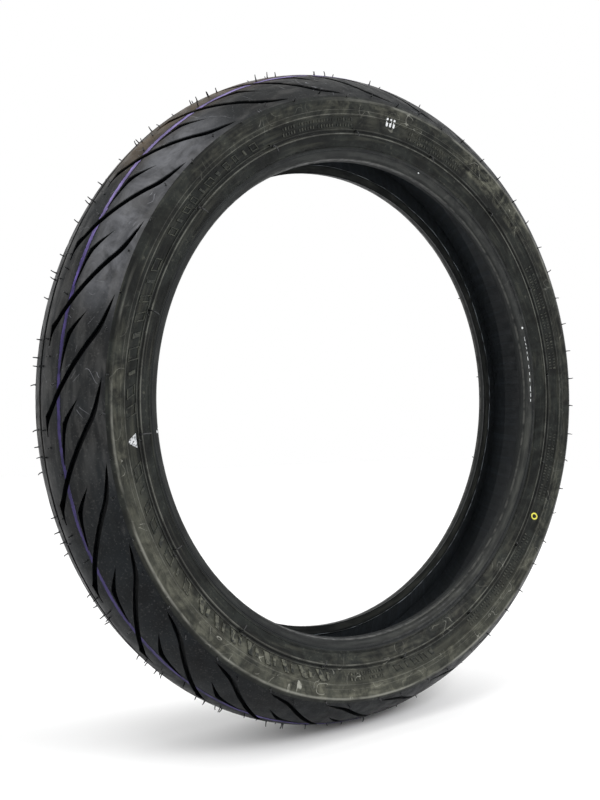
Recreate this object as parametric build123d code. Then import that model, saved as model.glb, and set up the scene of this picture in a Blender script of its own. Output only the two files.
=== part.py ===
from build123d import *
import os
from math import asin, cos, degrees, radians, sin, sqrt

# Tubeless bias-ply motorcycle tyre, 100/80-17, bare and off its rim.
# Origin at the wheel centre. The wheel turns about +Y, +Z is up and +X is forward.
# The right side of the tyre is at -Y and the left side is at +Y. Millimetres and degrees.
# Sections are drawn as (y, radius) in one half-plane and turned once round the wheel.

# Outside shape
CROWN_RADIUS = 296.0          # wheel centre to the middle of the tread
CROWN_ARC = 52.0              # cross curvature of the middle of the tread
CROWN_ARC_END = 32.6          # angle from radial where the flatter shoulder arc begins
SHOULDER_ARC = 70.0           # cross curvature of the outer part of the tread
SHOULDER_Y = 51.4             # sharp edge between tread and sidewall
SIDE_MIDDLE = (43.4, 236.5)   # the sidewall's outer face is an arc through this point
BEVEL_TOP = (35.4, 221.0)     # where the sidewall turns under into the bead
BEVEL_MIDDLE = (33.9, 217.5)
HEEL = (30.4, 215.9)
SEAT_RADIUS = 215.9           # nominal 17 inch bead seat, 431.8 mm across
SEAT_INNER_Y = 26.4
TOE = (24.2, 215.0)

# Carcass: the outer face of the outer ply, as tangent arcs and a line down to the bead
CARCASS_RADIUS = 286.0
CARCASS_ARCS = [(50.0, 52.0), (18.0, 100.0), (140.0, 105.0)]   # radius, angle where it ends
CARCASS_TAIL = 15.5
PLY = 1.0
LINER = 1.2
BREAKER = 0.8
BASE = 0.8
INNER_BREAKER_END = 40.0      # angle from radial where each breaker ply stops
OUTER_BREAKER_END = 33.0
BASE_END = 50.0

# Bead
WIRES_ACROSS = 4
WIRE_RADIUS = 0.45
WIRE_PITCH = 1.05
CORE_SIZE = WIRES_ACROSS * WIRE_PITCH
CORE_Y = 27.0                 # inner side of the core
CORE_RADIUS = 218.5           # underside of the core
WIRE_CLEARANCE = 0.03
FILLER_TIP = 243.0
FILLER_TIP_WIDTH = 0.6
FLIPPER = 0.5
FLIPPER_TOP = 231.0
TURN_UP_TOP = 237.5
TURN_UP_GAP = 4.0
CHAFER_TOP = 224.5

# Shoulder strip
STRIP_ANGLE = 57.5            # angle from radial of its edge on the tread
STRIP_SIDE_RADIUS = 257.0     # radius of its edge on the sidewall
STRIP_ROOT = (42.0, 260.3)

# Sidewall relief: (radius, size)
FINE_RIBS = [(235.6, 0.75), (225.9, 0.5), (223.0, 0.5), (251.0, 0.45), (254.6, 0.35)]
RIM_GROOVE = (237.4, 0.65)
MARKING_BAND = (239.3, 249.8)
MARKING_RECESS = 0.45
RECESS_SLOPE = 0.3

# Tread pattern
PITCHES = 28
FIRST_TIP = 75.7              # angle round the wheel of the first groove's outer tip
PITCH_SWING = 1.73            # slow change of pitch that breaks up the tread's hum
SWING_PHASE = 220.6
GROOVE_DEPTH = 5.5
FLOOR_ARC = 80.0              # the floor comes up towards the shoulder
CENTRE_GROOVE_WIDTH = 3.4
CENTRE_GROOVE_DEPTH = 1.6
ROUND_RADIUS = 290.0          # lengths round the tread are measured at this radius
CUTTER_DOWN = 26.0
CUTTER_UP = 16.0
ABOVE_TREAD = 3.0

# Vent spews, the rubber hairs left by the mould's air vents
SPEW_RADIUS = 0.42
SPEW_LENGTH = 4.6
SPEW_STANDOFF = 0.02
TREAD_SPEWS = [(-4.5, 3.2), (26.5, 7.4), (3.5, 44.6), (37.0, 57.0), (50.0, 51.8), (57.0, 59.0)]
SIDE_SPEWS = 16
FIRST_SIDE_SPEW = 6.6
SIDE_SPEW_RADIUS = 238.4
SIDE_SPEW_LENGTH = 3.2

# Paint
FILM = 0.12
STRIPE = (20.9, 24.7)         # axial distances of its two edges
BALANCE_ANGLE = 330.5
BALANCE_RADIUS = 244.4
BALANCE_RING = (4.8, 3.2)     # outer and inner radius
INSPECTION_ANGLE = 187.6
INSPECTION_RADIUS = 244.6
INSPECTION_SIZE = 6.4         # centre of the triangle to its corners


def polar(centre, radius, angle):
    """Point of a section arc, with its angle measured from the radial direction."""
    a = radians(angle)
    return (centre[0] + radius * sin(a), centre[1] + radius * cos(a))


CROWN_CENTRE = (0.0, CROWN_RADIUS - CROWN_ARC)
SHOULDER_CENTRE = polar(CROWN_CENTRE, CROWN_ARC - SHOULDER_ARC, CROWN_ARC_END)
SHOULDER_ANGLE = degrees(asin((SHOULDER_Y - SHOULDER_CENTRE[0]) / SHOULDER_ARC))
SHOULDER_EDGE = polar(SHOULDER_CENTRE, SHOULDER_ARC, SHOULDER_ANGLE)
SIDE_ARC = ThreePointArc(SHOULDER_EDGE, SIDE_MIDDLE, BEVEL_TOP)


def tread_chain(depth=0.0, shoulder_arc=SHOULDER_ARC):
    """Arcs (centre, radius, start, end) of the tread surface or of a surface below it."""
    radius = CROWN_ARC - depth
    second = polar(CROWN_CENTRE, radius - shoulder_arc, CROWN_ARC_END)
    return [
        (CROWN_CENTRE, radius, 0.0, CROWN_ARC_END),
        (second, shoulder_arc, CROWN_ARC_END, SHOULDER_ANGLE),
    ]


def carcass_chain():
    """Arcs of the carcass's outer face, each one tangent to the last."""
    chain = []
    centre = (0.0, CARCASS_RADIUS - CARCASS_ARCS[0][0])
    radius, start = CARCASS_ARCS[0][0], 0.0
    for new_radius, end in CARCASS_ARCS:
        centre = polar(centre, radius - new_radius, start)
        chain.append((centre, new_radius, start, end))
        radius, start = new_radius, end
    return chain


CARCASS = carcass_chain()


def chain_edges(chain, outwards=0.0, last=180.0):
    """Edges of a chain of arcs, moved outwards, from the crown to the last angle."""
    edges = []
    for centre, radius, start, end in chain:
        end = min(end, last)
        if end > start:
            angles = (start, (start + end) / 2, end)
            edges.append(ThreePointArc(*[polar(centre, radius + outwards, a) for a in angles]))
    return edges


def carcass_line(outwards, last=180.0, tail=CARCASS_TAIL):
    """Edges of a line parallel to the carcass, with its straight tail if it goes that far."""
    edges = chain_edges(CARCASS, outwards, last)
    end_angle = CARCASS_ARCS[-1][1]
    if last > end_angle and tail > 0:
        a = radians(end_angle)
        start = edges[-1] @ 1
        edges.append(Line(start, start + Vector(cos(a), -sin(a)) * tail))
    return edges


def close_face(edges, *points):
    """Face bounded by joined edges and a polyline from their end back to their start."""
    corners = [edges[-1] @ 1, *points, edges[0] @ 0]
    return make_face(edges + [Line(a, b) for a, b in zip(corners, corners[1:])])


def band(inner, outer, last=180.0):
    """Half-section of a layer that follows the carcass, between two offsets."""
    lower = carcass_line(inner, last)
    upper = carcass_line(outer, last)
    ends = [Line(lower[0] @ 0, upper[0] @ 0), Line(lower[-1] @ 1, upper[-1] @ 1)]
    return make_face(lower + upper + ends)


def inside(outwards):
    """Everything on the air side of a line parallel to the carcass."""
    edges = carcass_line(outwards, tail=CARCASS_TAIL + 20)
    return close_face(edges, (0.0, (edges[-1] @ 1).Y))


def box_face(y0, y1, r0, r1):
    """Rectangle in the section."""
    return Pos((y0 + y1) / 2, (r0 + r1) / 2) * Rectangle(y1 - y0, r1 - r0)


def side_y(radius):
    """Axial distance of the sidewall's outer face at a radius."""
    centre = SIDE_ARC.arc_center
    return centre.X + sqrt(SIDE_ARC.radius**2 - (radius - centre.Y) ** 2)


def outer_section():
    """Half-section of all that the mould shapes: tread, sidewall and bead."""
    edges = chain_edges(tread_chain())
    edges.append(SIDE_ARC)
    edges.append(ThreePointArc(BEVEL_TOP, BEVEL_MIDDLE, HEEL))
    return close_face(edges, (SEAT_INNER_Y, SEAT_RADIUS), TOE, (0.0, TOE[1]))


def bead_core():
    """Square bundle of wires in its rubber: the rubber's section and the wires' section."""
    rubber = box_face(CORE_Y, CORE_Y + CORE_SIZE, CORE_RADIUS, CORE_RADIUS + CORE_SIZE)
    grid = GridLocations(WIRE_PITCH, WIRE_PITCH, WIRES_ACROSS, WIRES_ACROSS)
    middle = Pos(CORE_Y + CORE_SIZE / 2, CORE_RADIUS + CORE_SIZE / 2)
    wires = [middle * place * Circle(WIRE_RADIUS) for place in grid]
    holes = [middle * place * Circle(WIRE_RADIUS + WIRE_CLEARANCE) for place in grid]
    return rubber, wires, holes


def bead_heart():
    """Core and filler together, the wedge that every layer of the bead wraps round."""
    limit = inside(-2 * PLY - FLIPPER)
    reach = limit & box_face(0.0, 60.0, FILLER_TIP - 0.01, FILLER_TIP)
    tip_y = reach.bounding_box().max.X - FILLER_TIP_WIDTH
    core_top = CORE_RADIUS + CORE_SIZE
    corners = [
        (CORE_Y, CORE_RADIUS),
        (60.0, CORE_RADIUS),
        (60.0, FILLER_TIP),
        (tip_y, FILLER_TIP),
        (CORE_Y, core_top),
    ]
    return limit & make_face(Polyline(*corners, close=True))


def bead_layers():
    """Flipper, filler, turned-up ply and the wrapped outlines round the heart of the bead."""
    heart = bead_heart()
    wrapped = offset(heart, FLIPPER)
    plied = offset(heart, FLIPPER + PLY)
    lined = offset(heart, FLIPPER + PLY + LINER)
    lane = band(-2 * PLY, -PLY)
    turn_up_end = lane & box_face(0.0, 60.0, TURN_UP_TOP, TURN_UP_TOP + TURN_UP_GAP)
    low = box_face(0.0, 60.0, 200.0, FLIPPER_TOP)
    flipper = (wrapped - heart) & low
    upper_ply = lane & box_face(0.0, 60.0, TURN_UP_TOP + TURN_UP_GAP, 320.0)
    ply = ((plied - wrapped) + upper_ply) - turn_up_end
    filler = (wrapped - flipper - bead_core()[0]) + turn_up_end
    return flipper, filler, ply, plied, lined


def with_relief(face):
    """Fine ribs, rim groove and the shallow band for markings, on a sidewall or chafer."""
    low, high = MARKING_BAND
    recess = [
        (side_y(low) - MARKING_RECESS, low + RECESS_SLOPE),
        (side_y(high) - MARKING_RECESS, high - RECESS_SLOPE),
        (side_y(high) + 2.0, high + RECESS_SLOPE),
        (side_y(low) + 2.0, low - RECESS_SLOPE),
    ]
    bounds = face.bounding_box()
    if bounds.max.Y > high:
        radius, size = RIM_GROOVE
        face = face - make_face(Polyline(*recess, close=True))
        face = face - Pos(side_y(radius) + 0.1, radius) * Circle(size)
    for radius, size in FINE_RIBS:
        if bounds.min.Y + size < radius < bounds.max.Y - size:
            face = face + Pos(side_y(radius) - 0.1, radius) * Circle(size)
    return face


def both_halves(face):
    """A half-section and its mirror image as one section across the tyre."""
    return face + mirror(face, about=Plane.YZ)


def turn(section):
    """Turn a section once round the wheel."""
    return revolve(Plane.YZ * section, axis=Axis.Y)


def each_side(section):
    """The left and right copies of a piece that the tyre has one of per side."""
    left = turn(section)
    return {"left": left, "right": mirror(left, about=Plane.XZ)}


def tread_place(along, across):
    """Angle round the wheel, y, radius and lean of the tread at a place on its flat pattern.

    along is measured round the tread, across is measured from the shoulder edge inwards.
    """
    shoulder_length = SHOULDER_ARC * radians(SHOULDER_ANGLE - CROWN_ARC_END)
    if across < shoulder_length:
        lean = SHOULDER_ANGLE - degrees(across / SHOULDER_ARC)
        y, radius = polar(SHOULDER_CENTRE, SHOULDER_ARC, lean)
    else:
        lean = CROWN_ARC_END - degrees((across - shoulder_length) / CROWN_ARC)
        y, radius = polar(CROWN_CENTRE, CROWN_ARC, lean)
    return degrees(along / ROUND_RADIUS), y, radius, lean


def in_space(angle, y, radius):
    """Point at an angle round the wheel, measured from +X towards +Z."""
    a = radians(angle)
    return Vector(radius * cos(a), y, radius * sin(a))


def tread_point(along, across):
    """Point of the tread surface, left half, for a place on the flat pattern."""
    angle, y, radius, _ = tread_place(along, across)
    return in_space(angle, y, radius)


def tread_normal(along, across):
    """Outward direction of the tread surface at a place on the flat pattern."""
    angle, _, _, lean = tread_place(along, across)
    return in_space(angle, sin(radians(lean)), cos(radians(lean)))


def groove_cutter(outline, shell):
    """Solid that cuts one groove: its flat outline laid on the tread and cut to depth.

    The outline is a list of runs, and each run is a list of places that a smooth edge
    passes through.
    """
    places = [place for run in outline for place in run]
    along = sum(place[0] for place in places) / len(places)
    across = sum(place[1] for place in places) / len(places)
    plane = Plane(origin=tread_point(along, across), z_dir=tread_normal(along, across))
    edges = []
    for run in outline:
        flat = [plane.to_local_coords(tread_point(*place)) for place in run]
        points = [(point.X, point.Y) for point in flat]
        edges.append(Line(*points) if len(points) == 2 else Spline(*points))
    face = plane * make_face(edges)
    prism = extrude(face, CUTTER_UP) + extrude(face, -CUTTER_DOWN)
    return prism & shell


# A long groove runs from the shoulder across the tread and ends in a narrow foot by the crown
MAIN_GROOVE = [
    [(-2.6, 6.7), (8.0, 7.3), (18.0, 8.7), (26.0, 10.6), (33.0, 13.6)],
    [(33.0, 13.6), (63.0, 30.7), (94.0, 48.6)],
    [(94.0, 48.6), (98.5, 51.2), (108.5, 53.0)],
    [(108.5, 53.0), (108.3, 54.4)],
    [(108.3, 54.4), (100.0, 55.0), (93.0, 55.3)],
    [(93.0, 55.3), (87.5, 50.2)],
    [(87.5, 50.2), (62.0, 35.0), (36.0, 20.2)],
    [(36.0, 20.2), (28.0, 15.8), (18.0, 12.2), (8.0, 9.7), (-2.6, 6.7)],
]
# A short groove lies between two long ones and fades out along the colour stripe
SHORT_GROOVE = [
    [(13.0, 23.6), (20.0, 26.9), (27.0, 30.5), (33.0, 33.3)],
    [(33.0, 33.3), (42.0, 35.6), (53.0, 37.5), (63.0, 39.4)],
    [(63.0, 39.4), (63.0, 39.9)],
    [(63.0, 39.9), (52.0, 39.5), (41.0, 38.6), (32.5, 37.7)],
    [(32.5, 37.7), (26.0, 33.5), (20.0, 28.9), (13.0, 23.6)],
]


def pitch_angles():
    """Angle round the wheel of each repeat of the pattern, with its slow swing."""
    even = [FIRST_TIP + index * 360.0 / PITCHES for index in range(PITCHES)]
    return [angle + PITCH_SWING * sin(radians(angle - SWING_PHASE)) for angle in even]


def turned(shape, angle):
    """A shape moved round the wheel, from +X towards +Z."""
    return Rot(0, -angle, 0) * shape


def groove_cutters():
    """Every groove of the tread, both halves."""
    above = chain_edges(tread_chain(-ABOVE_TREAD))
    floor = chain_edges(tread_chain(GROOVE_DEPTH, FLOOR_ARC))
    ends = [Line(above[0] @ 0, floor[0] @ 0), Line(above[-1] @ 1, floor[-1] @ 1)]
    shell = turn(make_face(above + floor + ends))
    one_pitch = [groove_cutter(outline, shell) for outline in (MAIN_GROOVE, SHORT_GROOVE)]
    one_pitch += [mirror(cutter, about=Plane.XZ) for cutter in one_pitch]
    return [turned(cutter, angle) for angle in pitch_angles() for cutter in one_pitch]


def tread_section(rubber):
    """Cap, base, breakers, shoulder strip and sidewall sections from the outer rubber."""
    inner_breaker = band(0.0, BREAKER, INNER_BREAKER_END)
    outer_breaker = band(BREAKER, 2 * BREAKER, OUTER_BREAKER_END)
    base = band(0.0, 2 * BREAKER + BASE, BASE_END) - inner_breaker - outer_breaker
    on_tread = polar(SHOULDER_CENTRE, SHOULDER_ARC, STRIP_ANGLE)
    on_side = (side_y(STRIP_SIDE_RADIUS), STRIP_SIDE_RADIUS)
    beyond = (SHOULDER_EDGE[0] + 4.0, SHOULDER_EDGE[1] + 4.0)
    wedge = make_face(Polyline(STRIP_ROOT, on_tread, beyond, on_side, close=True))
    strip = rubber & wedge
    rest = (rubber - strip - inner_breaker - outer_breaker - base).faces()
    cap, side = rest.sort_by(lambda face: face.bounding_box().max.X)
    notch = box_face(0.0, CENTRE_GROOVE_WIDTH / 2, CROWN_RADIUS - CENTRE_GROOVE_DEPTH, 320.0)
    return cap - notch, base, inner_breaker, outer_breaker, strip, side


def spew(point, direction, length):
    """One rubber hair standing on a surface."""
    start = point + direction * SPEW_STANDOFF
    return extrude(Plane(origin=start, z_dir=direction) * Circle(SPEW_RADIUS), length)


def tread_spews():
    """Hairs of the tread, in the same places at each repeat of the pattern."""
    one = [spew(tread_point(*p), tread_normal(*p), SPEW_LENGTH) for p in TREAD_SPEWS]
    one += [mirror(hair, about=Plane.XZ) for hair in one]
    return [turned(hair, angle) for angle in pitch_angles() for hair in one]


def side_spews():
    """Hairs of the left sidewall, just outside the rim groove."""
    y = side_y(SIDE_SPEW_RADIUS)
    centre = SIDE_ARC.arc_center
    outward = Vector(SIDE_SPEW_RADIUS - centre.Y, y - centre.X, 0).normalized()
    hair = spew(Vector(SIDE_SPEW_RADIUS, y, 0), outward, SIDE_SPEW_LENGTH)
    step = 360.0 / SIDE_SPEWS
    return [turned(hair, FIRST_SIDE_SPEW + index * step) for index in range(SIDE_SPEWS)]


def colour_stripe(cutters):
    """Thin coloured line painted round the right half of the tread, broken by the grooves."""
    surface = chain_edges(tread_chain())
    top = chain_edges(tread_chain(-FILM))
    ends = [Line(surface[0] @ 0, top[0] @ 0), Line(surface[-1] @ 1, top[-1] @ 1)]
    film = make_face(surface + top + ends) & box_face(*STRIPE, 0.0, 320.0)
    ring = mirror(turn(film), about=Plane.XZ)
    right_cutters = [cutter for cutter in cutters if cutter.bounding_box().max.Y < 0]
    return ring.cut(*right_cutters).solids()


def marking_film():
    """Solid skin of paint over the marking band of the left sidewall."""
    low, high = MARKING_BAND
    start = (side_y(low) - MARKING_RECESS, low + RECESS_SLOPE)
    end = (side_y(high) - MARKING_RECESS, high - RECESS_SLOPE)
    lift = [(y + FILM, radius) for y, radius in (end, start)]
    return turn(make_face(Polyline(start, end, *lift, close=True)))


def paint_mark(outline, radius, angle):
    """A flat outline, drawn about its centre, painted on the right sidewall's marking band."""
    placed = Plane(origin=(radius, 0, 0), x_dir=(0, 0, 1), z_dir=(0, 1, 0)) * outline
    prism = extrude(placed, SHOULDER_Y)
    return mirror(turned(prism & marking_film(), angle), about=Plane.XZ)


def balance_mark():
    """Ring that shows the tyre's light spot, to be set beside the valve."""
    ring = Circle(BALANCE_RING[0]) - Circle(BALANCE_RING[1])
    return paint_mark(ring, BALANCE_RADIUS, BALANCE_ANGLE)


def inspection_mark():
    """Triangle stamped on by the factory's inspector, pointing towards the bead."""
    triangle = Rot(0, 0, 90) * RegularPolygon(INSPECTION_SIZE, 3)
    return paint_mark(triangle, INSPECTION_RADIUS, INSPECTION_ANGLE)


def save(name, shapes):
    """Write one node: a single solid, or a group of separate solids."""
    parts = shapes if isinstance(shapes, list) else shapes.solids()
    whole = parts[0] if len(parts) == 1 else Compound(children=parts)
    export_step(whole, f"parts/{name}.step")


def build():
    """Make every piece of the tyre and write it to its own file."""
    os.makedirs("parts", exist_ok=True)
    whole = outer_section()
    flipper, filler, turned_up_ply, plied, lined = bead_layers()
    outer_ply = band(-PLY, 0.0)
    outside = whole - inside(-PLY) - outer_ply - plied
    above_chafer = box_face(-1.0, 60.0, CHAFER_TOP, 320.0)
    below_chafer = box_face(TOE[0], 60.0, 200.0, CHAFER_TOP)
    bead_side = lined + box_face(CORE_Y, 60.0, 200.0, CHAFER_TOP) + box_face(0, 60.0, 200.0, CORE_RADIUS)
    chafer = (whole & below_chafer & bead_side) - plied - outer_ply
    cap, base, inner_breaker, outer_breaker, strip, side = tread_section(outside & above_chafer)
    liner_band = band(-2 * PLY - LINER, -2 * PLY)
    liner = ((liner_band + (lined - plied)) & inside(-2 * PLY) & above_chafer) - plied
    core, wires, holes = bead_core()

    cutters = groove_cutters()
    tread = turn(both_halves(cap)).cut(*cutters)
    save("tread_cap", tread)
    save("tread_base", turn(both_halves(base)))
    save("breaker_ply_outer", turn(both_halves(outer_breaker)))
    save("breaker_ply_inner", turn(both_halves(inner_breaker)))
    save("carcass_ply_outer", turn(both_halves(outer_ply)))
    save("carcass_ply_turned_up", turn(both_halves(turned_up_ply)))
    save("inner_liner", turn(both_halves(liner)))
    pairs = {
        "sidewall": with_relief(side),
        "shoulder_strip": strip,
        "chafer": with_relief(chafer),
        "bead_core_rubber": core - holes,
        "bead_filler": filler,
        "bead_flipper": flipper,
    }
    for name, section in pairs.items():
        for side_name, solid in each_side(section).items():
            save(f"{name}_{side_name}", solid)
    left_hoops = [turn(wire) for wire in wires]
    save("bead_wires_left", left_hoops)
    save("bead_wires_right", [mirror(hoop, about=Plane.XZ) for hoop in left_hoops])
    left_hairs = side_spews()
    save("sidewall_vent_spews_left", left_hairs)
    save("sidewall_vent_spews_right", [mirror(hair, about=Plane.XZ) for hair in left_hairs])
    save("tread_vent_spews", tread_spews())
    save("tread_colour_stripe", colour_stripe(cutters))
    save("balance_mark", balance_mark())
    save("inspection_mark", inspection_mark())


build()
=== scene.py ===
# %% [markdown]
# # A bare motorcycle tyre
# The tyre's solid pieces come from the CAD frame: a grooved tread cap, two sidewalls, two
# shoulder strips, the beads and everything sealed between them. This lesson dresses them.
# It adds what a mould, a paint gun and a warehouse leave on rubber: vent hairs, moulded
# markings, flash, a colour stripe, paint marks, dust and scuffs.

# %% Load the frame
import random
from math import asin, atan2, cos, degrees, pi, radians, sin, sqrt

import bmesh
import bpy
from mathutils import Matrix, Vector


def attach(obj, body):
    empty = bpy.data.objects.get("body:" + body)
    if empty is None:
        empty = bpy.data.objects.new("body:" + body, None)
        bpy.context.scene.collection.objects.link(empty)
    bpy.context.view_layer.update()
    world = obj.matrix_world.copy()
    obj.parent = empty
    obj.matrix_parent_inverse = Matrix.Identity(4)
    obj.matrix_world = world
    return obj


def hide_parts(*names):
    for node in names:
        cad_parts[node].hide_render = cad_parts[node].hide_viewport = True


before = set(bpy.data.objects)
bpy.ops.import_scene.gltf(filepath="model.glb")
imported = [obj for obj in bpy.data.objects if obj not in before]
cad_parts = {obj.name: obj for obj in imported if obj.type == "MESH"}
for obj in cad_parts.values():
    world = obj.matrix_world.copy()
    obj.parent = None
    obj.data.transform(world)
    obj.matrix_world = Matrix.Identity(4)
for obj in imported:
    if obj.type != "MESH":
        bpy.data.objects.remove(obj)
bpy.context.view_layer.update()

MM = 0.001

# %% [markdown]
# ## The tyre's own coordinates
# The wheel turns about Y. A place on the tyre is easiest to give by its angle round the
# wheel, its radius and its distance from the middle plane. These few numbers are the
# tyre's standard sizes, and they are the ones that its CAD sections use.

# %% Tyre coordinates
CROWN_RADIUS = 296.0 * MM
CROWN_ARC = 52.0 * MM
CROWN_ARC_END = 32.6
SHOULDER_ARC = 70.0 * MM
SHOULDER_Y = 51.4 * MM
SIDE_ARC_POINTS = [(51.4, 263.0), (43.4, 236.5), (35.4, 221.0)]
ROUND_RADIUS = 290.0 * MM
PITCHES = 28
FIRST_TIP = 75.7
PITCH_SWING = 1.73
SWING_PHASE = 220.6


def polar(centre, radius, angle):
    """Point of a section arc, with its angle measured from the radial direction."""
    return (centre[0] + radius * sin(radians(angle)), centre[1] + radius * cos(radians(angle)))


CROWN_CENTRE = (0.0, CROWN_RADIUS - CROWN_ARC)
SHOULDER_CENTRE = polar(CROWN_CENTRE, CROWN_ARC - SHOULDER_ARC, CROWN_ARC_END)
SHOULDER_ANGLE = degrees(asin((SHOULDER_Y - SHOULDER_CENTRE[0]) / SHOULDER_ARC))
SHOULDER_LENGTH = SHOULDER_ARC * radians(SHOULDER_ANGLE - CROWN_ARC_END)


def in_space(angle, y, radius):
    """Point at an angle round the wheel, measured from +X towards +Z."""
    return Vector((radius * cos(radians(angle)), y, radius * sin(radians(angle))))


def tread_place(along, across):
    """Angle, distance from the middle, radius and lean of a place on the flat tread pattern."""
    if across < SHOULDER_LENGTH:
        lean = SHOULDER_ANGLE - degrees(across / SHOULDER_ARC)
        y, radius = polar(SHOULDER_CENTRE, SHOULDER_ARC, lean)
    else:
        lean = CROWN_ARC_END - degrees((across - SHOULDER_LENGTH) / CROWN_ARC)
        y, radius = polar(CROWN_CENTRE, CROWN_ARC, lean)
    return degrees(along / ROUND_RADIUS), y, radius, lean


def circle_through(points):
    """Centre and radius of the circle through three section points."""
    (ax, ay), (bx, by), (cx, cy) = points
    d = 2 * (ax * (by - cy) + bx * (cy - ay) + cx * (ay - by))
    a2, b2, c2 = ax * ax + ay * ay, bx * bx + by * by, cx * cx + cy * cy
    ux = (a2 * (by - cy) + b2 * (cy - ay) + c2 * (ay - by)) / d
    uy = (a2 * (cx - bx) + b2 * (ax - cx) + c2 * (bx - ax)) / d
    return (ux * MM, uy * MM), sqrt((ax - ux) ** 2 + (ay - uy) ** 2) * MM


SIDE_CENTRE, SIDE_RADIUS = circle_through(SIDE_ARC_POINTS)


def side_y(radius):
    """Distance of the sidewall's face from the middle plane at a radius."""
    return SIDE_CENTRE[0] + sqrt(SIDE_RADIUS**2 - (radius - SIDE_CENTRE[1]) ** 2)


def side_lean(radius):
    """Outward direction of the left sidewall's face, as (y, radius)."""
    y = side_y(radius)
    return ((y - SIDE_CENTRE[0]) / SIDE_RADIUS, (radius - SIDE_CENTRE[1]) / SIDE_RADIUS)


def pitch_angles():
    """Angle of each repeat of the tread pattern, with its slow swing."""
    even = [FIRST_TIP + index * 360 / PITCHES for index in range(PITCHES)]
    return [angle + PITCH_SWING * sin(radians(angle - SWING_PHASE)) for angle in even]


HALF_WIDTH = SHOULDER_LENGTH + CROWN_ARC * radians(CROWN_ARC_END)
print("tread half-width round the arc:", round(HALF_WIDTH / MM, 1), "mm")

# %% [markdown]
# ## Camera
# The camera is level with the wheel's centre and turned towards the tread, so that tread,
# near sidewall and inside all show. Under a metre away, it sees the near side larger.

# %% Camera
AZIMUTH, ELEVATION = radians(-36.564), radians(-0.442)
LENS = 40.54
TARGET = Vector((-0.0358, 0.0266, -0.0006))
DISTANCE = 0.845

back = Vector((sin(AZIMUTH) * cos(ELEVATION), -cos(AZIMUTH) * cos(ELEVATION), sin(ELEVATION)))
camera_data = bpy.data.cameras.new("camera")
camera_data.lens = LENS
camera = bpy.data.objects.new("camera", camera_data)
camera.location = TARGET + back * DISTANCE
camera.rotation_euler = back.to_track_quat("Z", "Y").to_euler()
bpy.context.collection.objects.link(camera)
bpy.context.scene.camera = camera
bpy.context.scene.view_settings.view_transform = "Standard"
print("camera at", [round(value, 3) for value in camera.location])

# %% [markdown]
# ## Lights
# A black tyre needs a quiet studio: one white room light, one wide softbox high in front
# for the soft shadow, and a smaller one up at the left so that the tread gets a sheen.

# %% Lights
WORLD_STRENGTH = 1.0
SOFTBOXES = [
    # name, place, aim, width and length in metres, power in watts
    ("overhead", (0.8, -1.85, 1.7), (0.0, 0.0, -0.2), (1.5, 1.1), 36.0),
    ("sheen", (-1.05, -0.55, 1.75), (-0.2, 0.0, 0.2), (0.8, 0.8), 9.5),
]

world = bpy.data.worlds.new("studio")
world.use_nodes = True
world.node_tree.nodes["Background"].inputs["Color"].default_value = (1.0, 1.0, 1.0, 1.0)
world.node_tree.nodes["Background"].inputs["Strength"].default_value = WORLD_STRENGTH
bpy.context.scene.world = world
for name, place, aim, (width, length), power in SOFTBOXES:
    box = bpy.data.lights.new(name, "AREA")
    box.shape, box.size, box.size_y, box.energy = "RECTANGLE", width, length, power
    lamp = bpy.data.objects.new(name, box)
    lamp.location = place
    lamp.rotation_euler = (Vector(place) - Vector(aim)).to_track_quat("Z", "Y").to_euler()
    bpy.context.collection.objects.link(lamp)
    print("softbox", name, power, "W")

# %% [markdown]
# ## Helpers for materials
# A finish is a small tree of nodes. One function adds a node with its settings and links,
# and another turns the hex values that paint charts use into the linear numbers that
# light needs.

# %% Node and colour helpers


def linear(code, alpha=1.0):
    """Linear colour for an sRGB hex value."""
    parts = [int(code[index : index + 2], 16) / 255 for index in (1, 3, 5)]
    curve = [p / 12.92 if p <= 0.04045 else ((p + 0.055) / 1.055) ** 2.4 for p in parts]
    return (*curve, alpha)


def add(tree, kind, inputs=None, **settings):
    """Add a shader node. Inputs are values or the sockets that feed them."""
    made = tree.nodes.new("ShaderNode" + kind)
    for name, value in settings.items():
        setattr(made, name, value)
    for key, value in (inputs or {}).items():
        if isinstance(value, bpy.types.NodeSocket):
            tree.links.new(value, made.inputs[key])
        else:
            made.inputs[key].default_value = value
    return made


def new_material(name, roughness, ior=1.52, **sockets):
    """Material with one Principled shader. Constants go straight onto its sockets."""
    material = bpy.data.materials.new(name)
    material.use_nodes = True
    shader = material.node_tree.nodes["Principled BSDF"]
    shader.inputs["Roughness"].default_value = roughness
    shader.inputs["IOR"].default_value = ior
    for key, value in sockets.items():
        shader.inputs[key.replace("_", " ")].default_value = value
    return material, material.node_tree, shader


def product(tree, *factors):
    """Multiply sockets or numbers together."""
    result = factors[0]
    for factor in factors[1:]:
        result = add(tree, "Math", {0: result, 1: factor}, operation="MULTIPLY").outputs[0]
    return result


def ramp(tree, value, low, high, to_low=0.0, to_high=1.0):
    """Smooth step from one value to another as the input goes from low to high."""
    made = add(
        tree,
        "MapRange",
        {"Value": value, "From Min": low, "From Max": high, "To Min": to_low, "To Max": to_high},
        interpolation_type="SMOOTHSTEP",
    )
    return made.outputs["Result"]


def window(tree, value, low, high, soft):
    """One between low and high, falling to nought over a soft edge."""
    rise = ramp(tree, value, low - soft, low + soft)
    fall = ramp(tree, value, high - soft, high + soft, 1.0, 0.0)
    return product(tree, rise, fall)


def blend_colour(tree, factor, under, over):
    """Lay one colour over another by a factor."""
    return add(tree, "MixRGB", {"Fac": factor, "Color1": under, "Color2": over}).outputs[0]


# %% [markdown]
# ## Where a finish sits on the tyre
# Dust, wear and flow lines follow the tyre round, so their patterns need the tyre's own
# coordinates: the direction round the wheel, the radius and the distance from the middle.
# Noise in four dimensions takes all of these at once and has no seam where the circle
# closes.

# %% Tyre coordinates for materials


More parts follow.
